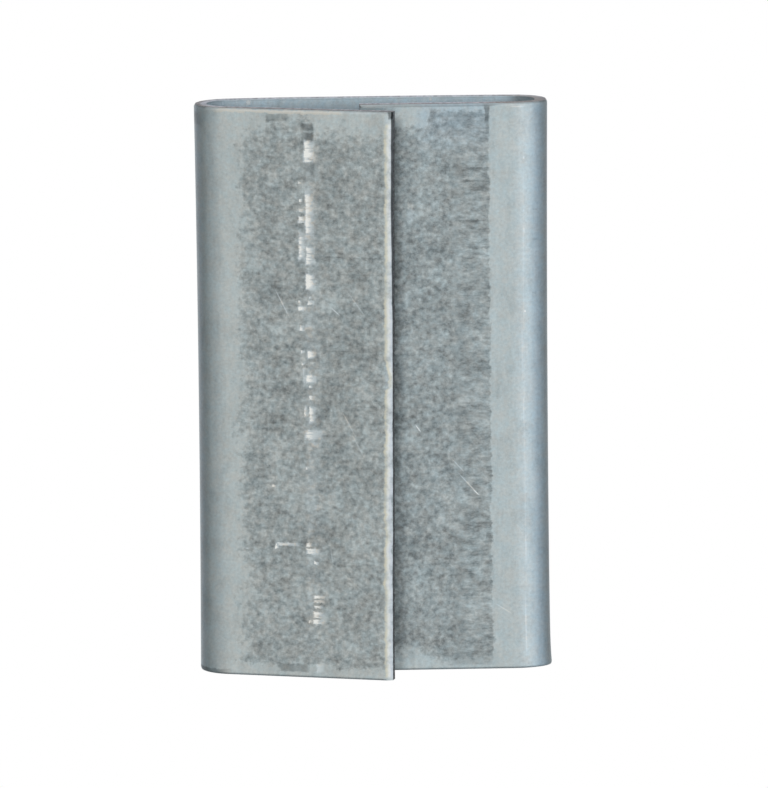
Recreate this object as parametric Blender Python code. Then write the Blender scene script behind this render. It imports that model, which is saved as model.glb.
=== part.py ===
"""Closed overlap seal for 32 mm steel strapping.

The seal is one strip of zinc-coated sheet steel, wrapped into a flattened sleeve that is open at
both ends. Two side bends join a flat back wall to an inner flap on the right and an outer flap on
the left. The outer flap laps over the inner one and rises away from it towards its free edge, which
leaves the channel that the straps are threaded through.

The sleeve stands on one cut end: +Z runs along the strap, +X across it, and the lapped front faces
-Y. The origin is at the centre of the bounding box's base.
"""

import math

import bmesh
import bpy
from mathutils import Vector

MM = 0.001

# Driving dimensions, in millimetres.
SEAL_LENGTH = 57.15         # along the strap: 2 1/4 in, the width of the strip it is made from
SEAL_WIDTH = 35.0           # outside, across both bends
SHEET = 1.27                # 0.050 in sheet steel
RIGHT_BEND_RADIUS = 3.35    # outside radius, between the back wall and the inner flap
LEFT_BEND_RADIUS = 3.8      # outside radius, between the back wall and the outer flap
INNER_EDGE_X = -1.25        # middle of the inner flap's free edge
OUTER_EDGE_X = 1.85         # middle of the outer flap's free edge, so the flaps lap by 3.1 mm
EDGE_ROUND = 0.12           # rounding of every cut edge

# How far each flap leans out from the back wall's plane, in degrees.
INNER_FLAP_LEAN = 0.8
OUTER_FLAP_LEAN = 14.3

BEND_STEPS = 26             # flat facets round each bend
ROUND_STEPS = 2             # facets across a rounded cut edge
EDGE_ANGLE = 50.0           # sharper edges than this are cut edges; a bend's facets are under 8


def arc(centre, radius, start, end):
    """Points of a circular arc about centre, between two angles in degrees, both ends included."""
    for step in range(BEND_STEPS + 1):
        angle = math.radians(start + (end - start) * step / BEND_STEPS)
        yield centre + radius * Vector((math.cos(angle), math.sin(angle)))


def flap_edge(bend_end, lean, side, edge_x):
    """Free edge of a flap that leaves its bend in a straight line; side is +1 towards +X."""
    reach = (edge_x - bend_end.x) * side
    return Vector((edge_x, bend_end.y - reach * math.tan(math.radians(lean))))


def section():
    """Mid-line of the wrapped strip in plan, with the back wall's outer face on y = 0."""
    half_sheet = SHEET / 2
    right_centre = Vector((SEAL_WIDTH / 2 - RIGHT_BEND_RADIUS, -RIGHT_BEND_RADIUS))
    left_centre = Vector((LEFT_BEND_RADIUS - SEAL_WIDTH / 2, -LEFT_BEND_RADIUS))
    right_bend = list(arc(right_centre, RIGHT_BEND_RADIUS - half_sheet, INNER_FLAP_LEAN - 90, 90))
    left_bend = list(arc(left_centre, LEFT_BEND_RADIUS - half_sheet, 90, 270 - OUTER_FLAP_LEAN))
    inner_edge = flap_edge(right_bend[0], INNER_FLAP_LEAN, -1, INNER_EDGE_X)
    outer_edge = flap_edge(left_bend[-1], OUTER_FLAP_LEAN, 1, OUTER_EDGE_X)
    return [inner_edge, *right_bend, *left_bend, outer_edge]


def section_depth(mid_line):
    """Overall depth, from the back wall's outer face to the outer flap's free edge."""
    rise = SHEET / 2 * math.cos(math.radians(OUTER_FLAP_LEAN))
    return rise - mid_line[-1].y


def zinc_plated_steel():
    """Dull blue-grey zinc coating."""
    material = bpy.data.materials.new("zinc_plated_steel")
    material.use_nodes = True
    shader = material.node_tree.nodes["Principled BSDF"]
    shader.inputs["Base Color"].default_value = (0.52, 0.57, 0.58, 1.0)
    shader.inputs["Metallic"].default_value = 0.9
    shader.inputs["Roughness"].default_value = 0.45
    return material


def make_sleeve():
    """Raise the section along +Z, then give the surface the thickness of the sheet."""
    mid_line = section()
    centring = section_depth(mid_line) / 2
    shape = bmesh.new()
    base = [shape.verts.new((p.x * MM, (p.y + centring) * MM, 0.0)) for p in mid_line]
    edges = [shape.edges.new(pair) for pair in zip(base, base[1:])]
    raised = bmesh.ops.extrude_edge_only(shape, edges=edges)["geom"]
    top = [item for item in raised if isinstance(item, bmesh.types.BMVert)]
    bmesh.ops.translate(shape, verts=top, vec=(0.0, 0.0, SEAL_LENGTH * MM))
    bmesh.ops.recalc_face_normals(shape, faces=shape.faces)
    mesh = bpy.data.meshes.new("seal_sleeve")
    shape.to_mesh(mesh)
    shape.free()
    mesh.materials.append(zinc_plated_steel())

    sleeve = bpy.data.objects.new("seal_sleeve", mesh)
    bpy.context.scene.collection.objects.link(sleeve)
    sheet = sleeve.modifiers.new("sheet", "SOLIDIFY")
    sheet.thickness = SHEET * MM
    sheet.offset = 0.0
    sheet.use_even_offset = True
    rounding = sleeve.modifiers.new("cut_edges", "BEVEL")
    rounding.width = EDGE_ROUND * MM
    rounding.segments = ROUND_STEPS
    rounding.limit_method = "ANGLE"
    rounding.angle_limit = math.radians(EDGE_ANGLE)
    mesh.shade_smooth()
    mesh.set_sharp_from_angle(angle=math.radians(EDGE_ANGLE))
    return sleeve


for leftover in list(bpy.data.objects):
    bpy.data.objects.remove(leftover, do_unlink=True)
make_sleeve()
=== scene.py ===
"""Looks of a closed overlap seal for 32 mm steel strapping.

The seal is one strip of zinc-plated sheet steel, wrapped into a flattened sleeve. Here the strip is
laid out as a fine grid along its mid-line, with the small signs of how it was made: eased bends, a
slightly bowed back wall, ends that flare a little, a skewed outer flap and sheared, rolled-over edges.
Its surface is described in strip coordinates, in millimetres: distance along the strip from the inner
flap's free edge, height above the lower end, and place across the sheet.
"""

import math

import bpy
import numpy as np
from mathutils import Matrix, Vector


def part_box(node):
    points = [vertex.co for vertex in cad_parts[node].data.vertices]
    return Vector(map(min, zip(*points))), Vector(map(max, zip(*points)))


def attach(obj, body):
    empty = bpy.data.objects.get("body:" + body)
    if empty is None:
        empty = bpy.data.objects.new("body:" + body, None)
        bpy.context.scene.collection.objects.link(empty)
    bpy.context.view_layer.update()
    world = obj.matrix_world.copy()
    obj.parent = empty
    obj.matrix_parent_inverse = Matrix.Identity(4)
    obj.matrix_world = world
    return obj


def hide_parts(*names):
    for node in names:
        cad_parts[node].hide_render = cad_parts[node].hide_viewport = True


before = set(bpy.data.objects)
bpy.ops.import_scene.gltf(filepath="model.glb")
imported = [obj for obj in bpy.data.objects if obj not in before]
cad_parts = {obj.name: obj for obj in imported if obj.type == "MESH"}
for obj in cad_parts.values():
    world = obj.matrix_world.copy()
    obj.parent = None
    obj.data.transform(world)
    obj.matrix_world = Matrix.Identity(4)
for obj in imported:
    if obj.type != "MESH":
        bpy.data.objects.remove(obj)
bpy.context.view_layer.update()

MM = 0.001
LOW, HIGH = (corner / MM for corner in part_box("seal_sleeve"))

# The strip, in millimetres and degrees.
SHEET = 1.27
HALF_SHEET = SHEET / 2
HEIGHT = HIGH.z - LOW.z
INNER_EDGE_X = -1.21
OUTER_EDGE_X = 1.83
INNER_FLAP_LEAN = 1.2
BACK_WALL_Y = HIGH.y - HALF_SHEET

# The bends and the back wall as stretches of the mid-line: length and turn, in order. The right bend
# starts with a soft shoulder, and the back wall bows outwards, mostly towards the left bend.
RIGHT_BEND = ((2.4, 32.0), (1.74, 56.8), (0.6, 0.0), (4.12, 87.8))
BACK_WALL = ((10.0, 2.2), (12.0, 0.0), (7.0, 0.5), (8.0, 6.5))
LEFT_BEND = ((8.55, 159.3),)    # it leaves the outer flap leaning forwards by 13.7 degrees
EASING = 0.5                # the bends' curvature is smoothed over this length
PATH_STEP = 0.02            # spacing of the mid-line's points
SPARE_PATH = 1.5            # the flaps' lines run on this far past their free edges
FIRST_GUESS = (15.0, 0.0, 17.0)     # inner flap's length, the back wall's extra and outer flap's length
FITTING_ROUNDS = 5

# What forming and handling did to the sleeve.
END_FLARE = 0.13            # each side stands out this much further at both ends than at mid-height
FLARE_REST = 0.3            # the part of it that narrows the middle instead
FOOT_FLARE = (0.15, 1.6)    # the right bend's lower end stands out: how far, and over what height
OUTER_FLAP_SKEW = 0.5       # degrees, turned in its own plane
INNER_FLAP_SKEW = 0.14
EDGE_WAVE = 0.03            # waviness of the sheared free edges

# Grid of the surface: its pitch away from the edges, and the places of its lines near a cut edge.
SKIN_PITCH = 0.38
EDGE_LINES = (0.0, 0.025, 0.06, 0.11, 0.17, 0.25, 0.35, 0.47, 0.6, 0.75, 0.95, 1.2)
WALL_STEPS = 8
SHARP_ANGLE = 50            # in degrees: sharper edges than this stay sharp under smooth shading

# Rolled-over rims of the sheared edges: width on the skin and depth across the sheet.
FREE_EDGE_ROLL = (0.8, 0.33)
TOP_ROLL = (0.26, 0.13)
BOTTOM_ROLL = (0.2, 0.06)
BURR_ROLL = (0.08, 0.04)
ROLL_POWER = 1.3


# ---- the mid-line ----

def turning(stretches, count):
    """Smoothed turn at each of count path points, in radians, for the given stretches."""
    turn = np.zeros(count)
    place = 0.0
    for length, degrees in stretches:
        first = round(place / PATH_STEP)
        last = round((place + length) / PATH_STEP)
        turn[first:last] = math.radians(degrees) / max(last - first, 1)
        place += length
    window = np.hanning(round(2 * EASING / PATH_STEP) + 1)
    return np.convolve(turn, window / window.sum(), mode="same")


def trace(inner_flap, back_spare, outer_flap):
    """Distance, x, y and heading along a mid-line with these flaps and this much more back wall."""
    bowed, flat, *rest = BACK_WALL
    stretches = (
        (inner_flap + SPARE_PATH, 0.0),
        *RIGHT_BEND,
        bowed,
        (flat[0] + back_spare, flat[1]),
        *rest,
        *LEFT_BEND,
        (outer_flap + SPARE_PATH, 0.0),
    )
    count = round(sum(length for length, _ in stretches) / PATH_STEP) + 1
    heading = math.radians(INNER_FLAP_LEAN) + np.cumsum(turning(stretches, count))
    x = np.cumsum(np.cos(heading)) * PATH_STEP
    y = np.cumsum(np.sin(heading)) * PATH_STEP
    distance = np.arange(count) * PATH_STEP - SPARE_PATH
    return distance, x, y, heading


def strip_path():
    """The mid-line in its place, with its straight stretches fitted to the frame and the free edges."""
    inner_flap, back_spare, outer_flap = FIRST_GUESS
    for _ in range(FITTING_ROUNDS):
        distance, x, y, heading = trace(inner_flap, back_spare, outer_flap)
        bend_end = inner_flap + sum(length for length, _ in RIGHT_BEND)
        x = x + HIGH.x - HALF_SHEET - x.max()
        y = y + BACK_WALL_Y - np.interp(bend_end, distance, y)
        length = distance[-1] - SPARE_PATH
        flaps = inner_flap, length - outer_flap, length
        too_wide = LOW.x + HALF_SHEET - x.min()
        too_long = np.interp(length, distance, x) - OUTER_EDGE_X
        inner_flap += np.interp(0.0, distance, x) - INNER_EDGE_X
        back_spare -= too_wide
        outer_flap -= too_long + too_wide
    return distance, x, y, heading, flaps


PATH_S, PATH_X, PATH_Y, PATH_HEADING, (INNER_BEND, OUTER_BEND, STRIP) = strip_path()


# ---- the surface of the strip ----

def lines(length):
    """Places of the grid's lines across a length: an even pitch, closer near both cut edges."""
    near = np.array(EDGE_LINES)
    count = round((length - 2 * near[-1]) / SKIN_PITCH)
    middle = np.linspace(near[-1], length - near[-1], count + 1)
    return np.concatenate([near[:-1], middle, (length - near[:-1])[::-1]])


def waves(place, seed, lengths=(19.0, 7.3, 3.1, 1.4)):
    """Smooth, repeatable unevenness within about -1..1 along one direction."""
    total = np.zeros_like(place)
    for order, length in enumerate(lengths):
        phase = math.sin(seed * 12.9 + order * 4.1) * 43.7
        total += np.sin(place * 2 * math.pi / length + phase) / (order + 1.6)
    return total / 1.4


def rolled(distance, roll):
    """How far the skin drops towards the middle of the sheet, near a cut edge with this roll-over."""
    width, depth = roll
    nearness = np.clip(1.0 - distance / width, 0.0, 1.0)
    return depth * nearness ** ROLL_POWER


def skin_drop(s, z, outside):
    """Drop of the outer or inner skin at all four cut edges of the strip."""
    bottom, top, inner_free, outer_free = [BURR_ROLL] * 4
    if outside:
        bottom, top, inner_free, outer_free = BOTTOM_ROLL, TOP_ROLL, TOP_ROLL, FREE_EDGE_ROLL
    drop = np.maximum(rolled(z, bottom), rolled(HEIGHT - z, top))
    drop = np.maximum(drop, rolled(s, inner_free))
    return np.maximum(drop, rolled(STRIP - s, outer_free))


def in_space(s, z, across):
    """Points of the formed sleeve, in millimetres, for strip coordinates."""
    on_outer = np.clip((s - OUTER_BEND) / (STRIP - OUTER_BEND), 0.0, 1.0)
    on_inner = np.clip((INNER_BEND - s) / INNER_BEND, 0.0, 1.0)
    height = z - HEIGHT / 2
    skew_out = math.tan(math.radians(OUTER_FLAP_SKEW))
    skew_in = math.tan(math.radians(INNER_FLAP_SKEW))
    along = s + height * skew_out * on_outer
    along = along + EDGE_WAVE * waves(z, 1.0) * on_outer ** 8
    along = along + EDGE_WAVE * waves(z, 2.0) * on_inner ** 8
    raised = z - skew_out * np.maximum(s - OUTER_BEND, 0.0)
    raised = raised + skew_in * np.maximum(INNER_BEND - s, 0.0)
    x = np.interp(along, PATH_S, PATH_X)
    y = np.interp(along, PATH_S, PATH_Y)
    heading = np.interp(along, PATH_S, PATH_HEADING)
    flare = 1.0 + END_FLARE / HIGH.x * ((2 * height / HEIGHT) ** 2 - FLARE_REST)
    x = (x + across * np.sin(heading)) * flare
    x = x + FOOT_FLARE[0] * np.exp(-z / FOOT_FLARE[1]) * np.clip(x / HIGH.x, 0.0, 1.0) ** 6
    y = y - across * np.cos(heading)
    return np.stack([x, y, raised], axis=-1)


def grid_faces(numbers):
    """Quads over a two-way array of vertex numbers."""
    a, b = numbers[:-1, :-1], numbers[1:, :-1]
    c, d = numbers[1:, 1:], numbers[:-1, 1:]
    return np.stack([a, b, c, d], axis=-1).reshape(-1, 4)


def rim_loop(numbers):
    """Vertex numbers once round the border of a two-way array."""
    return np.concatenate([numbers[:-1, 0], numbers[-1, :-1], numbers[:0:-1, -1], numbers[0, :0:-1]])


def strip_surface():
    """Strip coordinates of every vertex, all quads, and how many of the quads belong to the skins."""
    s, z = np.meshgrid(lines(STRIP), lines(HEIGHT), indexing="ij")
    outside = np.stack([s, z, HALF_SHEET - skin_drop(s, z, True)], axis=-1).reshape(-1, 3)
    inside = np.stack([s, z, skin_drop(s, z, False) - HALF_SHEET], axis=-1).reshape(-1, 3)
    outer_numbers = np.arange(s.size).reshape(s.shape)
    inner_numbers = outer_numbers + s.size
    points = [outside, inside]
    loops = [rim_loop(outer_numbers)]
    first = 2 * s.size
    for step in range(1, WALL_STEPS):
        part = step / WALL_STEPS
        start, end = outside[loops[0]], inside[loops[0]]
        points.append(start * (1 - part) + end * part)
        loops.append(np.arange(len(loops[0])) + first)
        first += len(loops[0])
    loops.append(rim_loop(inner_numbers))
    around = np.array([np.append(loop, loop[0]) for loop in loops]).T
    skins = np.concatenate([grid_faces(outer_numbers), grid_faces(inner_numbers)[:, ::-1]])
    walls = grid_faces(around)[:, ::-1]
    return np.concatenate(points), np.concatenate([skins, walls]), len(skins)


def make_sleeve():
    """The sleeve as one closed mesh, with the skins and the cut edges in a material each."""
    strip, faces, skin_count = strip_surface()
    points = in_space(strip[:, 0], strip[:, 1], strip[:, 2])
    mesh = bpy.data.meshes.new("strapping_seal")
    mesh.from_pydata((points * MM).tolist(), [], faces.tolist())
    place = mesh.attributes.new("strip_mm", "FLOAT_VECTOR", "POINT")
    place.data.foreach_set("vector", strip.astype(np.float32).ravel())
    mesh.materials.append(zinc_skin())
    mesh.materials.append(sheared_steel())
    slots = np.zeros(len(faces), np.int32)
    slots[skin_count:] = 1
    mesh.polygons.foreach_set("material_index", slots)
    mesh.shade_smooth()
    mesh.set_sharp_from_angle(angle=math.radians(SHARP_ANGLE))
    mesh.update()
    sleeve = bpy.data.objects.new("strapping_seal", mesh)
    bpy.context.scene.collection.objects.link(sleeve)
    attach(sleeve, "root")
    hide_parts("seal_sleeve")
    return sleeve


# ---- materials ----

class Graph:
    """Short calls for adding and joining shader nodes. A socket or a plain value may feed any input."""

    def __init__(self, tree):
        self.tree = tree
        tree.nodes.clear()

    def add(self, kind, **settings):
        node = self.tree.nodes.new("ShaderNode" + kind)
        for name, value in settings.items():
            setattr(node, name, value)
        return node

    def feed(self, socket, value):
        if isinstance(value, bpy.types.NodeSocket):
            self.tree.links.new(value, socket)
        elif value is not None:
            socket.default_value = value

    def math(self, operation, first, second=None, third=None, clamp=False):
        node = self.add("Math", operation=operation, use_clamp=clamp)
        for socket, value in zip(node.inputs, (first, second, third)):
            self.feed(socket, value)
        return node.outputs[0]

    def ramp(self, value, low, high, start=0.0, end=1.0):
        """Smooth step of value between low and high, from start to end."""
        node = self.add("MapRange", interpolation_type="SMOOTHSTEP")
        for socket, number in zip(node.inputs, (value, low, high, start, end)):
            self.feed(socket, number)
        return node.outputs["Result"]

    def line(self, value, low, high, start=0.0, end=1.0):
        """Straight, clamped ramp of value between low and high, from start to end."""
        node = self.add("MapRange")
        for socket, number in zip(node.inputs, (value, low, high, start, end)):
            self.feed(socket, number)
        return node.outputs["Result"]

    def noise(self, place, scale, detail=2.0, roughness=0.5, stretch=(1, 1, 1), shift=(0, 0, 0), color=False):
        """Noise of about 0..1 at so many features per millimetre, as one value or as three."""
        moved = self.add("Mapping")
        self.feed(moved.inputs["Vector"], place)
        moved.inputs["Scale"].default_value = stretch
        moved.inputs["Location"].default_value = shift
        node = self.add("TexNoise")
        self.feed(node.inputs["Vector"], moved.outputs[0])
        node.inputs["Scale"].default_value = scale
        node.inputs["Detail"].default_value = detail
        node.inputs["Roughness"].default_value = roughness
        return node.outputs["Color" if color else 0]

    def blend(self, factor, first, second, kind="MIX"):
        """Mix of two colours."""
        node = self.add("Mix", data_type="RGBA", blend_type=kind)
        self.feed(node.inputs[0], factor)
        self.feed(node.inputs[6], first)
        self.feed(node.inputs[7], second)
        return node.outputs[2]

    def centred(self, noise):
        """Noise moved to vary around 0."""
        return self.math("SUBTRACT", noise, 0.5)

    def inside(self, value, low, high, soft):
        """1 where value lies between low and high, fading to 0 over soft outside them."""
        rise = self.ramp(value, low - soft, low)
        fall = self.ramp(value, high, high + soft, 1.0, 0.0)
        return self.math("MULTIPLY", rise, fall)


def new_material(name):
    """A material, its graph and its shader, which is joined to the output."""
    material = bpy.data.materials.new(name)
    material.use_nodes = True
    graph = Graph(material.node_tree)
    shader = graph.add("BsdfPrincipled")
    output = graph.add("OutputMaterial")
    graph.feed(output.inputs["Surface"], shader.outputs[0])
    return material, graph, shader


def add_bump(graph, shader, relief, millimetres):
    """Bump from this relief, whose full range is so many millimetres high."""
    bump = graph.add("Bump")
    bump.inputs["Strength"].default_value = 1.0
    bump.inputs["Distance"].default_value = millimetres * MM
    graph.feed(bump.inputs["Height"], relief)
    graph.feed(shader.inputs["Normal"], bump.outputs[0])


class StripPlace:
    """Sockets of the strip coordinates: the vector, distance along, height and place across."""

    def __init__(self, graph):
        attribute = graph.add("Attribute", attribute_name="strip_mm")
        parts = graph.add("SeparateXYZ")
        graph.feed(parts.inputs[0], attribute.outputs["Vector"])
        self.vector = attribute.outputs["Vector"]
        self.along, self.height, self.across = parts.outputs


class SkinPlace(StripPlace):
    """The same on the sheet's two faces, with what their marks are placed by."""

    def __init__(self, graph):
        super().__init__(graph)
        self.outside = graph.ramp(self.across, 0.0, 0.1)            # 1 on the outer face, 0 on the inner
        self.from_edge = graph.math("SUBTRACT", STRIP, self.along)  # from the outer flap's free edge
        self.marked = shaken(graph, self.vector, 2.6, 0.09)         # the vector for marks with uneven rims


# Colours of the zinc, and casts that multiply them.
ZINC = (0.535, 0.583, 0.588)
WEAR_AND_SHEEN_WHITE = (0.93, 0.94, 0.92, 1.0)
WEAR_AND_SHEEN_CREAM = (0.86, 0.81, 0.74, 1.0)
WEAR_AND_SHEEN_BLUE = (0.70, 0.77, 0.82, 1.0)
COOL_CAST = (0.96, 1.008, 1.035, 1.0)
WARM_CAST = (1.04, 0.992, 0.965, 1.0)
BLUED_CAST = (0.94, 0.99, 1.05, 1.0)    # the inner flap's upper end and the sleeve's inside
BLUED_HEIGHTS = (51.0, 56.0)
BLUED_SPAN = (6.5, 12.0)                # by distance along the strip
BLUED_INSIDE = 0.8
# Pale band below the outer flap's upper rim: partly burnish, partly painted highlight.
RIM_HIGHLIGHT_CREAM = (0.74, 0.67, 0.58, 1.0)
# The stripe's colours, blue at the free edge through white to cream, are partly a painted reflection.
STRIPE_BLUE = (0.60, 0.625, 0.66, 1.0)
STRIPE_WHITE = (0.74, 0.74, 0.71, 1.0)
STRIPE_CREAM = (0.70, 0.66, 0.54, 1.0)

# Near the upper rim, by height: a broken pale band that is partly burnish and partly painted highlight,
# painted shade darkening the skin, and painted light on the inner face.
RIM_HIGHLIGHT_HEIGHTS = (56.82, 57.08)
RIM_HIGHLIGHT_SPAN = (5.5, 17.0)          # by distance from the outer flap's free edge
RIM_SHADE_HEIGHTS = (56.93, 57.1)       # here painted shade darkens the skin upwards
RIM_SHADE = 0.6                         # to this share of its brightness
INNER_RIM_SHADE = 0.15                  # it starts that much lower on the inner flap
INNER_SIDE = (12.5, 14.5)               # which ends here for that
INSIDE_HEIGHTS = (56.1, 57.0)           # here painted shade makes the sheet's inner face brighten upwards
INSIDE_SHARES = (0.86, 1.13)            # between these shares of its brightness

# Where the dies pressed.
OUTER_THINNING = (12.4, 16.5)   # so far from its free edge the outer flap's marks thin out
INNER_STOP = 12.9           # the inner flap's marks stop short at this distance along the strip
OUTER_TOP = (53.6, 56.6)    # heights between which the marks fade out towards the ends
OUTER_FOOT = (0.5, 1.6)
INNER_TOP = (55.9, 56.9)
INNER_FOOT = (0.0, 1.8)
HIGHER = (8.0, 12.4)        # so far from its free edge, the outer flap's marks reach up higher
HIGHER_BY = 1.4
INNER_NEAR = (6.4, 7.2)     # nearer to its free edge than this, the inner flap's marks stop sooner
SOONER_BY = (1.6, 1.2)      # by this at the top and at the foot
LIGHTER = (9.0, 5.0)        # nearer to its free edge than this, the outer flap is a little lighter
LIGHTER_BY = 0.035
DRAWN_FROM = 9.8            # from here on along the strip the inner flap's marks are drawn into streaks
ON_THE_BACK = (20.0, 21.0)  # here along the strip its streaks and its darker tone end
PRESSED_SHARE = 0.745       # brightness that the dies left, as a share of the plain zinc's
FREE = 0.6                  # added to that share, this leaves plain zinc
INSIDE_PAINTED_LIGHT = 1.25         # painted light: the sheet's inner face is made that much brighter than the outer one

LAP_SHADOW = (3.4, 4.4)        # painted shadow on the inner flap beside the outer flap's edge: full, then faded
LAP_SHADOW_STRENGTH = 0.46
LAP_SHADOW_TOP = (55.4, 56.2)
LAP_SHADOW_LOW = (16.0, 22.0)  # the band is weaker below these heights than above them
LAP_SHADOW_SHARES = (0.84, 1.08)
STRIPE = (0.12, 0.66)       # stripe along the outer flap's free edge: partly burnish, partly painted highlight
STRIPE_HEIGHTS = (0.5, 55.7)
NECK_FOOT = (29.3, 29.6)    # going up, the stripe narrows here
NECK_TOP = (33.0, 30.2)     # and has its full width again at the first of these heights
NECK = 0.38                 # by so much it is narrower between them
LIP_HEIGHTS = (31.0, 48.0)  # between these the free edge's dark lip, painted shade, widens from nothing
LIP = 0.17                  # to this
LIP_STRENGTH = 0.85

# Rubbed marks of the outer flap: distance from its free edge, height, half width, half height, strength.
# Each is sharp on its left and fades towards the free edge.
RUBBED = (
    (8.35, 53.1, 0.40, 1.02, 0.9),
    (8.35, 52.5, 0.45, 0.55, 1.2),
    (9.25, 49.9, 0.14, 0.09, 0.7),
    (9.2, 48.1, 0.16, 0.13, 0.9),
    (8.35, 46.6, 0.38, 2.45, 0.85),
    (9.05, 47.1, 0.30, 0.20, 0.6),
    (9.05, 46.2, 0.34, 0.34, 0.95),
    (9.1, 43.5, 0.30, 1.40, 0.8),
    (8.3, 42.6, 0.38, 0.95, 0.9),
    (8.3, 40.0, 0.42, 0.80, 1.0),
    (8.3, 38.4, 0.14, 0.13, 0.7),
    (8.25, 37.9, 0.32, 0.22, 0.85),
    (9.35, 37.95, 0.12, 0.12, 0.9),
    (9.15, 37.3, 0.34, 0.24, 1.0),
    (9.1, 35.3, 0.24, 0.30, 1.0),
    (8.5, 35.45, 0.35, 0.28, 0.6),
    (9.1, 32.95, 0.18, 0.15, 0.9),
    (8.2, 32.7, 0.36, 0.36, 0.95),
    (9.0, 31.75, 0.16, 0.16, 0.9),
    (8.95, 30.5, 0.10, 0.85, 0.5),
    (8.3, 30.2, 0.46, 0.42, 0.95),
    (8.3, 29.45, 0.16, 0.14, 0.9),
    (8.2, 28.35, 0.28, 0.22, 0.8),
    (8.8, 27.0, 0.15, 0.60, 0.7),
    (8.15, 26.6, 0.28, 0.85, 0.9),
    (8.1, 24.6, 0.80, 0.50, 0.75),
    (7.8, 23.6, 0.45, 0.35, 0.35),
    (8.65, 21.2, 0.20, 0.13, 0.7),
    (7.7, 17.3, 0.30, 0.25, 0.4),
    (11.85, 13.25, 0.15, 0.28, 1.0),
    (10.9, 13.45, 0.92, 0.17, 0.9),
    (8.55, 13.45, 0.28, 0.20, 1.0),
    (8.2, 12.8, 0.60, 0.30, 0.9),
    (7.8, 11.65, 0.22, 0.16, 0.9),
    (7.6, 8.2, 0.48, 0.17, 0.9),
    (7.6, 7.75, 0.46, 0.13, 0.85),
    (7.65, 7.2, 0.38, 0.14, 1.0),
    (7.65, 6.4, 0.44, 0.30, 1.0),
    (7.65, 5.7, 0.48, 0.24, 0.95),
    (8.45, 5.65, 0.14, 0.16, 0.7),
    (7.5, 0.95, 0.30, 0.45, 0.5),
    (12.15, 19.3, 0.17, 0.12, 0.7),
    (8.1, 30.0, 0.62, 25.0, 0.13),
)
RUB_WIDENING = 1.3          # the marks are so many times as wide as listed, with their left sides kept
RUB_FADE = 0.85             # part of a mark's strength that is lost across it
INNER_RUBBED = (            # the inner flap's one, by distance along the strip and without the fading
    (4.95, 46.3, 0.30, 0.9, 0.2),
)

# Dark stains of the outer flap, in the same way, and of the inner flap, by distance along the strip.
OUTER_STAINS = (
    (8.4, 55.45, 0.62, 0.36, 0.45),
    (8.35, 54.5, 0.52, 0.42, 0.52),
    (8.85, 54.3, 0.20, 0.60, 0.38),
    (11.45, 56.35, 1.15, 0.36, 0.30),
    (12.4, 56.2, 0.20, 0.36, 0.32),
    (8.3, 51.0, 0.55, 0.95, 0.27),
    (8.95, 45.8, 0.12, 0.10, 0.5),
    (8.15, 32.1, 0.45, 0.15, 0.3),
    (8.6, 31.45, 0.15, 0.13, 0.45),
    (10.9, 12.75, 0.50, 0.25, 0.18),
    (10.15, 0.95, 1.55, 0.42, 0.36),
    (11.2, 0.85, 0.40, 0.25, 0.35),
    (4.0, 42.5, 3.9, 0.08, 0.14),
    (4.0, 40.8, 3.9, 0.08, 0.12),
    (4.6, 33.1, 2.6, 0.08, 0.12),
    (3.3, 27.6, 2.1, 0.07, 0.16),
    (3.0, 27.2, 1.5, 0.06, 0.12),
    (0.15, 56.75, 0.28, 0.35, 0.65),
    (19.5, 0.2, 2.6, 0.28, 0.4),
    (20.5, 55.9, 1.3, 0.6, 0.22),
)
INNER_STAINS = (
    (12.6, 56.1, 0.22, 0.85, 0.38),
    (12.65, 54.6, 0.16, 0.60, 0.28),
    (9.8, 56.1, 2.8, 0.25, 0.1),
    (10.7, 1.15, 2.3, 0.75, 0.22),
    (11.7, 50.6, 1.1, 0.16, 0.32),
    (11.5, 49.4, 1.3, 0.12, 0.28),
    (11.9, 48.6, 0.9, 0.20, 0.3),
    (11.3, 45.4, 1.6, 0.10, 0.3),
    (11.6, 42.7, 1.1, 0.12, 0.28),
    (12.6, 13.6, 0.35, 0.30, 0.3),
    (10.9, 7.6, 1.2, 0.14, 0.22),
    (17.2, 46.4, 0.25, 0.10, 0.15),
    (17.2, 43.4, 0.30, 0.12, 0.12),
    (17.1, 38.0, 0.25, 0.12, 0.12),
)

# Scratches, and on the inner flap also painted glint lines: both ends' distances and heights, and strength.
OUTER_SCRATCHES = (
    ((11.8, 39.1), (10.4, 36.4), 0.5),
    ((6.2, 37.5), (5.3, 36.7), 0.6),
    ((4.5, 39.1), (2.9, 36.9), 0.3),
    ((5.0, 26.9), (3.9, 24.9), 0.35),
    ((4.1, 24.8), (2.9, 22.6), 0.3),
    ((15.1, 12.9), (14.8, 12.9), 0.6),
    ((6.3, 13.1), (6.1, 11.7), 0.25),
    ((6.1, 11.6), (2.4, 8.4), 0.15),
)
INNER_SCRATCHES_AND_GLINTS = (
    ((9.0, 21.3), (10.1, 20.1), 0.4),
    ((9.6, 19.9), (11.5, 17.8), 0.5),
    ((11.0, 18.3), (11.6, 17.7), 0.8),
    ((5.3, 24.9), (5.8, 24.2), 0.8),
    ((13.2, 6.6), (14.6, 5.7), 0.5),
    # Painted glints from here on: a broken line where the right bend starts, and a patch below its upper rim.
    ((16.1, 51.8), (16.1, 51.5), 0.5),
    ((16.1, 46.5), (16.1, 46.2), 0.35),
    ((16.1, 44.6), (16.15, 44.1), 0.45),
    ((15.92, 35.2), (15.92, 29.3), 0.22),
    ((16.0, 27.5), (16.02, 24.8), 0.28),
    ((16.1, 13.8), (16.12, 11.0), 0.28),
    ((16.2, 36.3), (16.2, 36.1), 0.7),
    ((16.05, 55.0), (16.1, 1.5), 0.12),
    ((16.0, 7.5), (16.05, 1.2), 0.3),
    ((14.9, 56.78), (16.1, 56.78), 0.5),
)
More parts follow.
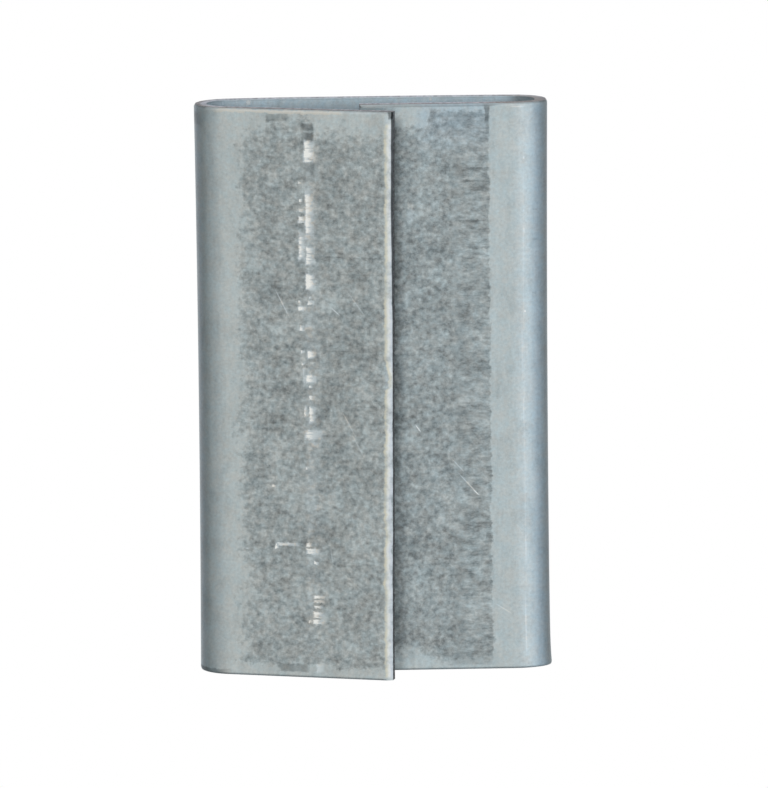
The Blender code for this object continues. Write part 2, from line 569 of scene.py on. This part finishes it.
SCRATCH_AND_GLINT_HALF_WIDTH = 0.06
SCRATCH_AND_GLINT_DEPTH = 1e6         # so large that each line's ellipse covers any place across the sheet

# Painted glints near the top of the back wall's inner face, by distance along the strip.
BACK_GLINTS = (
    (50.3, 56.82, 0.24, 0.24, 1.0),
    (53.0, 56.8, 0.10, 0.16, 0.5),
    (44.5, 56.9, 0.10, 0.12, 0.5),
    (32.1, 56.9, 0.18, 0.2, 1.0),
)

# Painted shade in the insides of the two bends: their middles along the strip, and how much darker they are.
BEND_MIDDLES = (19.0, 57.5)
BEND_SHADES = (0.5, 0.3)
BEND_REACH = 4.0            # they stay as dark as this to both sides

PRESSED_ROUGHNESS = 0.5
PLAIN_ROUGHNESS = 0.38
STRIPE_POLISH = 0.08        # how much smoother the stripe is
RUB_POLISH = 0.18           # and the rubbed marks and painted glints
INSIDE_METALLIC = 0.35      # the sheet's inner face is dulled
GRAIN_RELIEF = 0.004        # height in millimetres that stands for the full range of the zinc's tones


def spots(graph, place, rows, outer, fade=0.0):
    """Strongest of the listed marks at each point of the outer or the inner flap, as soft boxes."""
    parts = graph.add("SeparateXYZ")
    graph.feed(parts.inputs[0], place)
    strongest = 0.0
    for distance, height, half_width, half_height, strength in rows:
        along = STRIP - distance if outer else distance
        right = graph.math("MULTIPLY_ADD", parts.outputs["X"], 1 / half_width, -along / half_width)
        above = graph.math("MULTIPLY_ADD", parts.outputs["Y"], 1 / half_height, -height / half_height)
        reach = graph.math("MAXIMUM", graph.math("ABSOLUTE", right), graph.math("ABSOLUTE", above))
        mark = graph.ramp(reach, 0.65, 1.25, strength, 0.0)
        if fade:
            left = graph.math("MULTIPLY_ADD", right, -fade / 2, 1.0 - fade / 2)
            mark = graph.math("MULTIPLY", mark, left)
        strongest = graph.math("MAXIMUM", mark, strongest)
    return strongest


def widened(rows, times):
    """The listed marks of the outer flap, so many times as wide, with their left sides kept."""
    for distance, height, half_width, *rest in rows:
        yield distance - (times - 1.0) * half_width, height, times * half_width, *rest


def scratch_and_glint_lines(graph, place, rows, outer):
    """Strongest of the listed scratches and painted glint lines at each point, as thin ellipses with soft
    rims.
    """
    strongest = 0.0
    for start, end, strength in rows:
        side = -1.0 if outer else 1.0
        origin = STRIP if outer else 0.0
        first = Vector((origin + side * start[0], start[1]))
        last = Vector((origin + side * end[0], end[1]))
        run = last - first
        mapping = graph.add("Mapping", vector_type="TEXTURE")
        graph.feed(mapping.inputs["Vector"], place)
        mapping.inputs["Location"].default_value = (*((first + last) / 2), 0.0)
        mapping.inputs["Rotation"].default_value = (0.0, 0.0, math.atan2(run.y, run.x))
        half = max(run.length / 2, SCRATCH_AND_GLINT_HALF_WIDTH)
        mapping.inputs["Scale"].default_value = (half, SCRATCH_AND_GLINT_HALF_WIDTH, SCRATCH_AND_GLINT_DEPTH)
        reach = graph.add("VectorMath", operation="LENGTH")
        graph.feed(reach.inputs[0], mapping.outputs[0])
        mark = graph.ramp(reach.outputs["Value"], 0.6, 1.4, strength, 0.0)
        strongest = graph.math("MAXIMUM", mark, strongest)
    return strongest


def shaken(graph, place, scale, reach):
    """The strip coordinates, disturbed by noise of this scale to about this reach."""
    noise = graph.noise(place, scale, 3.0, 0.6, color=True)
    centred = graph.add("VectorMath", operation="SUBTRACT")
    graph.feed(centred.inputs[0], noise)
    centred.inputs[1].default_value = (0.5, 0.5, 0.5)
    moved = graph.add("VectorMath", operation="MULTIPLY_ADD")
    graph.feed(moved.inputs[0], centred.outputs[0])
    moved.inputs[1].default_value = (4 * reach, 4 * reach, 0.0)
    graph.feed(moved.inputs[2], place)
    return moved.outputs[0]


def untouched_by_dies(graph, at):
    """How far each point lies outside the dies' marks: 0 well inside them, FREE where zinc is plain."""
    ragged = graph.centred(graph.noise(at.vector, 0.35, 3.0, 0.6))
    fine = graph.centred(graph.noise(at.vector, 2.2, 2.0, 0.6))
    low = graph.math("MULTIPLY_ADD", fine, 1.2, at.height)

    reach = graph.math("MULTIPLY_ADD", ragged, 3.0, at.from_edge)
    side = graph.math("POWER", graph.line(reach, *OUTER_THINNING), 3.0)
    raised = graph.math("MULTIPLY", graph.inside(at.from_edge, *HIGHER, 0.3), -HIGHER_BY)
    top = graph.ramp(graph.math("ADD", low, raised), *OUTER_TOP, 0.0, 0.75)
    foot = graph.ramp(low, *OUTER_FOOT, 0.8, 0.0)
    outer = graph.math("ADD", graph.math("ADD", side, top), foot)

    reach = graph.math("MULTIPLY_ADD", ragged, 0.8, at.along)
    reach = graph.math("MULTIPLY_ADD", fine, 0.6, reach)
    side = graph.ramp(reach, INNER_STOP - 0.2, INNER_STOP + 0.15)
    near = graph.ramp(at.along, *INNER_NEAR, 1.0, 0.0)
    top = graph.ramp(graph.math("MULTIPLY_ADD", near, SOONER_BY[0], low), *INNER_TOP, 0.0, 0.7)
    foot = graph.ramp(graph.math("MULTIPLY_ADD", near, -SOONER_BY[1], low), *INNER_FOOT, 0.7, 0.0)
    inner = graph.math("ADD", graph.math("ADD", side, top), foot)
    return graph.math("MULTIPLY", graph.math("MINIMUM", outer, inner), FREE)


def pressed_share(graph, at, free):
    """Share of the zinc's brightness left by the dies: fine cells, drawn into streaks on one side."""
    cells = graph.noise(at.vector, 1.9, 4.0, 0.62)
    specks = graph.noise(at.vector, 2.4, 3.0, 0.6, stretch=(0.8, 1.1, 1.0), shift=(20, 0, 0))
    fine = graph.math("MULTIPLY_ADD", specks, 0.45, graph.math("MULTIPLY", cells, 0.75))
    fine = graph.math("SUBTRACT", fine, 0.1)
    drawn = graph.noise(at.vector, 2.3, 3.0, 0.65, stretch=(0.5, 1.0, 1.0), shift=(40, 0, 0))
    streaked = graph.ramp(at.along, DRAWN_FROM - 1.0, DRAWN_FROM + 0.6)
    streaked = graph.math("MULTIPLY", streaked, graph.ramp(at.along, *ON_THE_BACK, 1.0, 0.0))
    drawn = graph.math("MULTIPLY_ADD", drawn, 0.85, 0.075)
    fine = graph.math("ADD", fine, graph.math("MULTIPLY", streaked, graph.math("SUBTRACT", drawn, fine)))
    middle = graph.noise(at.vector, 0.5, 1.0, shift=(0, 30, 0))
    broad = graph.noise(at.vector, 0.17, 1.0, shift=(0, 60, 0))
    share = graph.math("MULTIPLY_ADD", graph.centred(fine), 1.48, PRESSED_SHARE)
    share = graph.math("MULTIPLY_ADD", graph.centred(middle), 0.42, share)
    share = graph.math("MULTIPLY_ADD", graph.centred(broad), 0.3, share)
    share = graph.math("ADD", share, graph.ramp(at.along, *ON_THE_BACK, -0.03, 0.0))
    near_edge = graph.line(at.along, STRIP - LIGHTER[0], STRIP - LIGHTER[1], 0.0, LIGHTER_BY)
    share = graph.math("ADD", share, near_edge)
    share = graph.math("ADD", share, free)
    return graph.math("MINIMUM", graph.math("MAXIMUM", share, 0.4), 1.0)


def zinc_grain(graph, at):
    """Unevenness of the plain plating: grain, faint streaks up the strip, and broad clouds."""
    grain = graph.math("MULTIPLY", graph.centred(graph.noise(at.vector, 3.2, 3.0, 0.7)), 0.48)
    streaks = graph.centred(graph.noise(at.vector, 1.6, 2.0, 0.6, stretch=(1.0, 0.12, 1.0)))
    grain = graph.math("MULTIPLY_ADD", streaks, 0.2, grain)
    clouds = graph.centred(graph.noise(at.vector, 0.3, 3.0, 0.6))
    smudges = graph.noise(at.vector, 0.8, 4.0, 0.7, stretch=(1.0, 0.5, 1.0), shift=(0, 70, 0))
    smudges = graph.line(smudges, 0.5, 0.72, 0.0, -0.14)
    grain = graph.math("MULTIPLY_ADD", clouds, 0.22, grain)
    return graph.math("ADD", graph.math("ADD", grain, smudges), 1.01)


def stain_and_shadow_strength(graph, at):
    """How much the dark stains and the painted shadow beside the overlap take from the brightness."""
    stains_and_shadow = graph.math("MAXIMUM", spots(graph, at.marked, OUTER_STAINS, True),
                        spots(graph, at.marked, INNER_STAINS, False))
    patchy = graph.noise(at.vector, 1.1, 3.0, 0.65, shift=(3, 3, 0))
    uneven = graph.ramp(patchy, 0.3, 0.7, 0.7, 1.3)
    # Painted shadow of the outer flap on the inner flap beside the overlap.
    lap_shadow = graph.line(at.along, LAP_SHADOW[1], LAP_SHADOW[0], 0.0, LAP_SHADOW_STRENGTH)
    lap_shadow = graph.math("MULTIPLY", lap_shadow, graph.ramp(at.height, *LAP_SHADOW_TOP, 1.0, 0.0))
    lap_shadow = graph.math("MULTIPLY", lap_shadow, graph.ramp(at.height, *LAP_SHADOW_LOW, *LAP_SHADOW_SHARES))
    stains_and_shadow = graph.math("MULTIPLY", graph.math("MAXIMUM", stains_and_shadow, lap_shadow), uneven)
    return graph.math("MULTIPLY", stains_and_shadow, at.outside)


def rub_and_glint_strength(graph, at):
    """How strongly each point is rubbed bright or scratched, with the painted glints on the inner face and
    along the right bend.
    """
    striped = graph.noise(at.vector, 3.4, 2.0, 0.6, stretch=(0.2, 1.0, 1.0), shift=(9, 0, 0))
    rubs_and_glints = spots(graph, at.marked, widened(RUBBED, RUB_WIDENING), True, fade=RUB_FADE)
    rubs_and_glints = graph.math("MULTIPLY", rubs_and_glints, graph.ramp(striped, 0.3, 0.55, 0.8, 1.45))
    scored_and_glinting = graph.math("MAXIMUM", scratch_and_glint_lines(graph, at.vector, OUTER_SCRATCHES, True),
                        scratch_and_glint_lines(graph, at.vector, INNER_SCRATCHES_AND_GLINTS, False))
    scored_and_glinting = graph.math("MAXIMUM", scored_and_glinting, spots(graph, at.marked, INNER_RUBBED, False))
    rubs_and_glints = graph.math("MULTIPLY", graph.math("MAXIMUM", rubs_and_glints, scored_and_glinting), at.outside, clamp=True)
    glints = spots(graph, at.vector, BACK_GLINTS, False)
    glints = graph.math("MULTIPLY", glints, graph.math("SUBTRACT", 1.0, at.outside))
    return graph.math("MAXIMUM", rubs_and_glints, glints)


def edge_stripe(graph, at):
    """Strength and colour of the stripe along the outer flap's free edge, partly burnish and partly painted
    highlight.
    """
    waver = graph.centred(graph.noise(at.vector, 0.9, 3.0, 0.65, stretch=(0.05, 1.0, 1.0)))
    rim = graph.math("MULTIPLY_ADD", waver, 0.75, at.from_edge)
    neck = graph.math("MULTIPLY", graph.line(at.height, *NECK_TOP), graph.ramp(at.height, *NECK_FOOT))
    rim = graph.math("MULTIPLY_ADD", neck, NECK, rim)
    stripe = graph.inside(rim, *STRIPE, 0.2)
    wear_and_sheen = graph.noise(at.vector, 0.7, 3.0, 0.65, shift=(5, 0, 0))
    stripe = graph.math("MULTIPLY", stripe, graph.ramp(wear_and_sheen, 0.36, 0.6, 0.45, 1.0))
    stripe = graph.math("MULTIPLY", stripe, graph.inside(at.height, *STRIPE_HEIGHTS, 0.4))
    color = graph.blend(graph.ramp(rim, 0.15, 0.4), STRIPE_BLUE, STRIPE_WHITE)
    color = graph.blend(graph.ramp(rim, 0.4, 0.65), color, STRIPE_CREAM)
    return graph.math("MULTIPLY", stripe, at.outside), color


def rim_burnish_and_highlight(graph, at):
    """Broken pale band just below the outer flap's upper rim: partly burnish, partly painted highlight."""
    ragged = graph.centred(graph.noise(at.vector, 1.2, 3.0, 0.7, shift=(0, 11, 0)))
    band = graph.inside(graph.math("MULTIPLY_ADD", ragged, 0.9, at.height), *RIM_HIGHLIGHT_HEIGHTS, 0.08)
    band = graph.math("MULTIPLY", band, graph.inside(at.from_edge, *RIM_HIGHLIGHT_SPAN, 1.0))
    return graph.math("MULTIPLY", band, graph.math("MULTIPLY", at.outside, 0.5))


def rim_shade(graph, at):
    """Share of the brightness left by painted shade along the upper rim and on the outer flap's dark lip, and
    by painted light and shade on the inner face.
    """
    lower = graph.math("MULTIPLY", graph.ramp(at.along, *INNER_SIDE, INNER_RIM_SHADE, 0.0), at.outside)
    shade = graph.ramp(graph.math("ADD", at.height, lower), *RIM_SHADE_HEIGHTS, 1.0, RIM_SHADE)
    inside = graph.line(at.height, *INSIDE_HEIGHTS, *INSIDE_SHARES)
    change = graph.math("SUBTRACT", inside, 1.0)
    inside = graph.math("MULTIPLY_ADD", change, graph.math("SUBTRACT", 1.0, at.outside), 1.0)
    # The dark lip is painted shade on the skin along the outer flap's free edge.
    lip = graph.math("SUBTRACT", at.from_edge, graph.line(at.height, *LIP_HEIGHTS, 0.0, LIP))
    lip = graph.math("MULTIPLY", graph.ramp(lip, -0.04, 0.03, LIP_STRENGTH, 0.0), at.outside)
    shade = graph.math("MULTIPLY", shade, inside)
    return graph.math("MULTIPLY", shade, graph.math("SUBTRACT", 1.0, lip))


def skin_tone(graph, at):
    """Brightness of the zinc with its stains and painted shade and light, and two of its factors: the share
    that the dies left, and the grain.
    """
    free = untouched_by_dies(graph, at)
    free = graph.math("ADD", free, graph.ramp(at.across, 0.0, 0.1, 1.0, 0.0))
    share = pressed_share(graph, at, free)
    grain = zinc_grain(graph, at)
    stains_and_shadow = stain_and_shadow_strength(graph, at)
    tone = graph.math("MULTIPLY", graph.math("MULTIPLY", share, grain), graph.math("SUBTRACT", 1.0, stains_and_shadow))
    # Painted light brightens the sheet's inner face, and painted shade takes some of it back in the two
    # bends.
    within = INSIDE_PAINTED_LIGHT
    for middle, shade in zip(BEND_MIDDLES, BEND_SHADES):
        bend = graph.inside(at.along, middle - BEND_REACH, middle + BEND_REACH, 2.0)
        within = graph.math("MULTIPLY", within, graph.math("MULTIPLY_ADD", bend, -shade, 1.0))
    gain = graph.math("SUBTRACT", within, 1.0)
    lift = graph.math("MULTIPLY_ADD", gain, graph.ramp(at.across, 0.0, -0.1), 1.0)
    return graph.math("MULTIPLY", tone, lift), share, grain


def unworn_zinc(graph, at, tone):
    """Colour of the zinc at this tone, and the patchy hue from cool to warm that tints it."""
    plain = graph.add("VectorMath", operation="SCALE")
    plain.inputs[0].default_value = ZINC
    graph.feed(plain.inputs["Scale"], tone)
    hue = graph.ramp(graph.noise(at.vector, 1.2, 3.0, 0.65, shift=(0, 0, 9)), 0.25, 0.75)
    color = graph.blend(1.0, plain.outputs[0], graph.blend(hue, COOL_CAST, WARM_CAST), "MULTIPLY")
    blued = graph.ramp(at.height, *BLUED_HEIGHTS)
    blued = graph.math("MULTIPLY", blued, graph.inside(at.along, *BLUED_SPAN, 1.5))
    blued = graph.math("MAXIMUM", blued, graph.ramp(at.across, 0.0, -0.1, 0.0, BLUED_INSIDE))
    return graph.blend(blued, color, graph.blend(1.0, color, BLUED_CAST, "MULTIPLY")), hue


def zinc_skin():
    """Dull zinc plating: mottled where the forming dies pressed on it, rubbed, stained and scratched, with
    painted shade, light, highlights and glints.
    """
    material, graph, shader = new_material("zinc_plated_steel")
    at = SkinPlace(graph)
    tone, share, grain = skin_tone(graph, at)
    color, hue = unworn_zinc(graph, at, tone)

    stripe, stripe_color = edge_stripe(graph, at)
    color = graph.blend(stripe, color, stripe_color)
    color = graph.blend(rim_burnish_and_highlight(graph, at), color, RIM_HIGHLIGHT_CREAM)
    rubs_and_glints = rub_and_glint_strength(graph, at)
    fringe = graph.blend(graph.ramp(hue, 0.5, 0.8), WEAR_AND_SHEEN_BLUE, WEAR_AND_SHEEN_CREAM)
    wear_and_sheen = graph.blend(graph.ramp(rubs_and_glints, 0.5, 0.95), fringe, WEAR_AND_SHEEN_WHITE)
    color = graph.blend(rubs_and_glints, color, wear_and_sheen)
    shaded = graph.add("VectorMath", operation="SCALE")
    graph.feed(shaded.inputs[0], color)
    graph.feed(shaded.inputs["Scale"], rim_shade(graph, at))
    graph.feed(shader.inputs["Base Color"], shaded.outputs[0])

    graph.feed(shader.inputs["Metallic"], graph.ramp(at.across, -0.1, 0.0, INSIDE_METALLIC, 1.0))
    rough = graph.line(share, 0.5, 1.0, PRESSED_ROUGHNESS, PLAIN_ROUGHNESS)
    rough = graph.math("MULTIPLY_ADD", stripe, -STRIPE_POLISH, rough)
    rough = graph.math("MULTIPLY_ADD", rubs_and_glints, -RUB_POLISH, rough)
    graph.feed(shader.inputs["Roughness"], rough)
    relief = graph.math("MULTIPLY_ADD", share, GRAIN_RELIEF, graph.math("MULTIPLY", grain, GRAIN_RELIEF))
    add_bump(graph, shader, relief, 1.0)
    return material


# The two halves of the sheared edge's thickness: a dull, torn one outside and a smooth one inside.
TORN_COLORS = (             # along the strip, from the inner flap's free edge
    (0.0, (0.13, 0.09, 0.09)),
    (14.0, (0.17, 0.12, 0.11)),
    (18.0, (0.20, 0.18, 0.18)),
    (24.0, (0.31, 0.32, 0.35)),
    (52.0, (0.31, 0.32, 0.35)),
    (56.0, (0.20, 0.18, 0.18)),
    (63.0, (0.12, 0.10, 0.095)),
    (77.0, (0.08, 0.08, 0.085)),
)
SMOOTH_CUT = (0.38, 0.38, 0.42, 1.0)
SOILED_CUT = (0.20, 0.17, 0.15, 1.0)
FREE_CUT = (0.045, 0.05, 0.066, 1.0)    # on the outer flap's free edge: partly the bare steel's colour, partly painted shade
SOILED_BEND = (14.0, 24.0)              # the smooth half is soiled in the right bend
SOILED_SHARE = 0.75                     # this strongly
SOILED_FLAP = (57.0, 63.0)              # and from here on, on the outer flap
SOILED_FLAP_SHARE = 0.6                 # by this share of that
CUT_METALLIC = 0.8
TEAR_SHARES = (0.6, 1.4)                # brightness from the deepest tears to the highest
TEAR_ROUGHNESS = (0.6, 0.42)
TEAR_RELIEF = 0.02                      # height in millimetres of the tears


def color_ramp(graph, value, stops):
    """Colour at this value between the given stops, which are pairs of place and colour."""
    ring = graph.add("ValToRGB")
    elements = ring.color_ramp.elements
    while len(elements) < len(stops):
        elements.new(0.5)
    for element, (position, color) in zip(elements, stops):
        element.position = position
        element.color = (*color, 1.0)
    graph.feed(ring.inputs[0], value)
    return ring.outputs["Color"]


def sheared_steel():
    """Bare cut edge of the sheet: torn and browned on the outer half, smooth on the inner half."""
    material, graph, shader = new_material("sheared_edge")
    at = StripPlace(graph)
    stops = [(distance / STRIP, color) for distance, color in TORN_COLORS]
    torn = color_ramp(graph, graph.math("DIVIDE", at.along, STRIP), stops)
    ragged = graph.centred(graph.noise(at.vector, 1.5, 3.0, 0.6))
    inner_half = graph.ramp(graph.math("MULTIPLY_ADD", ragged, 0.8, at.across), 0.15, -0.1)
    # The outer flap's free cut edge is nearly black: partly the steel's own colour, partly painted shade.
    cut = graph.blend(graph.ramp(at.along, STRIP - 0.3, STRIP - 0.05), SMOOTH_CUT, FREE_CUT)
    soiled = graph.inside(at.along, *SOILED_BEND, 2.0)
    soiled = graph.math("MAXIMUM", soiled, graph.ramp(at.along, *SOILED_FLAP, 0.0, SOILED_FLAP_SHARE))
    cut = graph.blend(graph.math("MULTIPLY", soiled, SOILED_SHARE), cut, SOILED_CUT)
    mixed = graph.blend(inner_half, torn, cut)
    tear = graph.noise(at.vector, 3.0, 3.0, 0.6, stretch=(1.0, 1.0, 0.2))
    color = graph.add("VectorMath", operation="SCALE")
    graph.feed(color.inputs[0], mixed)
    graph.feed(color.inputs["Scale"], graph.line(tear, 0.3, 0.7, *TEAR_SHARES))
    graph.feed(shader.inputs["Base Color"], color.outputs[0])
    shader.inputs["Metallic"].default_value = CUT_METALLIC
    graph.feed(shader.inputs["Roughness"], graph.line(tear, 0.3, 0.7, *TEAR_ROUGHNESS))
    add_bump(graph, shader, tear, TEAR_RELIEF)
    return material


# ---- stage, light and camera ----

FLOOR_HALF_SIZE = 3.0
STUDIO_RING = (             # degrees from the front, towards the right, and colour of the light
    (-160, (0.70, 0.72, 0.74)),
    (-140, (0.33, 0.35, 0.39)),
    (-110, (0.22, 0.24, 0.245)),
    (-93, (0.29, 0.31, 0.31)),
    (-75, (0.44, 0.47, 0.48)),
    (-57, (0.57, 0.60, 0.61)),
    (-26, (0.88, 0.875, 0.85)),
    (4, (0.80, 0.85, 0.86)),
    (20, (0.93, 0.97, 1.00)),
    (32, (1.16, 1.19, 1.22)),
    (42, (1.20, 1.28, 1.34)),
    (54, (0.79, 0.92, 1.04)),
    (71, (0.50, 0.58, 0.68)),
    (90, (0.355, 0.42, 0.48)),
    (115, (0.30, 0.33, 0.35)),
    (140, (0.30, 0.31, 0.32)),
    (162, (0.66, 0.68, 0.70)),
    (180, (0.80, 0.82, 0.84)),
)
OVERHEAD = (1.25, 1.3, 1.35)    # large soft light above
UNDERFOOT = (0.16, 0.18, 0.20)  # what lies deep below
OVERHEAD_FROM = (0.50, 0.80)    # sines of the angles above the horizon between which each takes over
UNDERFOOT_FROM = (-0.40, -0.70)
STUDIO_STRENGTH = 1.4           # the colours above are what arrives, so they are divided by this
FLOOR_DROP = 0.0008             # the floor lies that far below the sleeve's lower end


def seen_white(graph, other):
    """White to the camera's own rays, and the other shader's light on everything else."""
    rays = graph.add("LightPath")
    in_world = graph.tree == bpy.context.scene.world.node_tree
    white = graph.add("Background" if in_world else "Emission")
    white.inputs["Color"].default_value = (1.0, 1.0, 1.0, 1.0)
    mix = graph.add("MixShader")
    graph.feed(mix.inputs[0], rays.outputs["Is Camera Ray"])
    graph.feed(mix.inputs[1], other)
    graph.feed(mix.inputs[2], white.outputs[0])
    return mix.outputs[0]


def dimmed(color):
    """The colour as it has to be set so that the studio's strength brings it to its value."""
    return tuple(part / STUDIO_STRENGTH for part in color)


def make_world():
    """A studio that looks white, and lights the sleeve differently from each side and height."""
    world = bpy.data.worlds.new("studio")
    bpy.context.scene.world = world
    world.use_nodes = True
    graph = Graph(world.node_tree)
    direction = graph.add("TexCoord")
    angle = graph.add("TexGradient", gradient_type="RADIAL")
    graph.feed(angle.inputs[0], direction.outputs["Generated"])
    stops = sorted(((degrees / 360 + 0.25) % 1.0, dimmed(color)) for degrees, color in STUDIO_RING)
    around = color_ramp(graph, angle.outputs["Fac"], stops)
    parts = graph.add("SeparateXYZ")
    graph.feed(parts.inputs[0], direction.outputs["Generated"])
    above = graph.ramp(parts.outputs["Z"], *OVERHEAD_FROM)
    below = graph.ramp(parts.outputs["Z"], *UNDERFOOT_FROM)
    color = graph.blend(above, around, (*dimmed(OVERHEAD), 1.0))
    color = graph.blend(below, color, (*dimmed(UNDERFOOT), 1.0))
    light = graph.add("Background")
    light.inputs["Strength"].default_value = STUDIO_STRENGTH
    graph.feed(light.inputs["Color"], color)
    output = graph.add("OutputWorld")
    graph.feed(output.inputs["Surface"], seen_white(graph, light.outputs[0]))


def make_floor():
    """A white floor that only the camera sees, just below the sleeve."""
    material = bpy.data.materials.new("pale_floor")
    material.use_nodes = True
    graph = Graph(material.node_tree)
    clear = graph.add("BsdfTransparent")
    output = graph.add("OutputMaterial")
    graph.feed(output.inputs["Surface"], seen_white(graph, clear.outputs[0]))
    mesh = bpy.data.meshes.new("floor")
    size = FLOOR_HALF_SIZE
    corners = [(-size, -size, 0.0), (size, -size, 0.0), (size, size, 0.0), (-size, size, 0.0)]
    mesh.from_pydata(corners, [], [(0, 1, 2, 3)])
    mesh.materials.append(material)
    floor = bpy.data.objects.new("floor", mesh)
    bpy.context.scene.collection.objects.link(floor)
    floor.location.z = -FLOOR_DROP


CAMERA_PLACE = Vector((-0.0222, -0.83298, 0.16431))
CAMERA_DOWN = 9.296         # degrees, as are the next two
CAMERA_RIGHT = 1.596
CAMERA_ROLL = -0.530
FOCAL_LENGTH = 386.29       # millimetres


def make_camera():
    """A long lens, a little above the sleeve and a little left of it."""
    data = bpy.data.cameras.new("camera")
    data.sensor_width = 36.0
    data.lens = FOCAL_LENGTH
    camera = bpy.data.objects.new("camera", data)
    turn = Matrix.Rotation(math.radians(-CAMERA_RIGHT), 4, "Z")
    tilt = Matrix.Rotation(math.radians(90 - CAMERA_DOWN), 4, "X")
    roll = Matrix.Rotation(math.radians(CAMERA_ROLL), 4, "Z")
    camera.matrix_world = Matrix.Translation(CAMERA_PLACE) @ turn @ tilt @ roll
    bpy.context.scene.collection.objects.link(camera)
    bpy.context.scene.camera = camera


bpy.context.scene.view_settings.view_transform = "Standard"
make_camera()
make_world()
make_floor()
make_sleeve()
